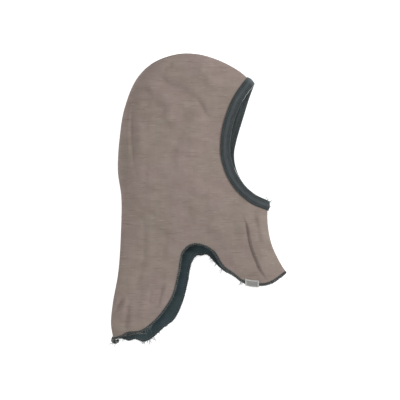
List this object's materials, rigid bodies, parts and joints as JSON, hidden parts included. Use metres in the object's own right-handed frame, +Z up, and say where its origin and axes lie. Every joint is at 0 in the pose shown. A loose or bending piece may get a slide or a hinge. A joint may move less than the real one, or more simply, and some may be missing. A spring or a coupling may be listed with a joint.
{
  "type": "balaclava",
  "caption": "Child's double-layer jersey balaclava with a bound face opening, front bib and longer back flap, laid flat on its side.",
  "frame": {"origin": "on the table under the middle of the hat's bounding box, the hat lying flat on its left side", "axes": "+X towards the face opening, +Y towards the crown (along the hat's full height), +Z up from the table, out of the wearer's right side"},
  "size_m": [0.2056, 0.335, 0.0316],
  "materials": {
    "shell_jersey": "matt heathered wool jersey, taupe",
    "lining_jersey": "matt wool jersey, dark petrol",
    "binding_rib": "matt rib knit, slate",
    "overlock_thread": "looped textured thread, charcoal",
    "sewing_thread": "twisted thread, slate",
    "woven_label": "plain woven tape, pale grey, blank",
    "label_thread": "twisted thread, pale grey"
  },
  "bodies": {
    "root": {"right_shell": "shell_jersey", "left_shell": "shell_jersey", "right_lining": "lining_jersey", "left_lining": "lining_jersey", "face_binding": "binding_rib", "binding_needle_thread": "sewing_thread", "binding_bobbin_thread": "sewing_thread", "binding_join_thread": "sewing_thread", "hem_overlock": "overlock_thread", "shell_crown_seam_overlock": "overlock_thread", "shell_bib_seam_overlock": "overlock_thread", "lining_crown_seam_overlock": "overlock_thread", "lining_bib_seam_overlock": "overlock_thread", "woven_label": "woven_label", "label_stitch_back": "label_thread", "label_stitch_front": "label_thread"}
  },
  "joints": []
}
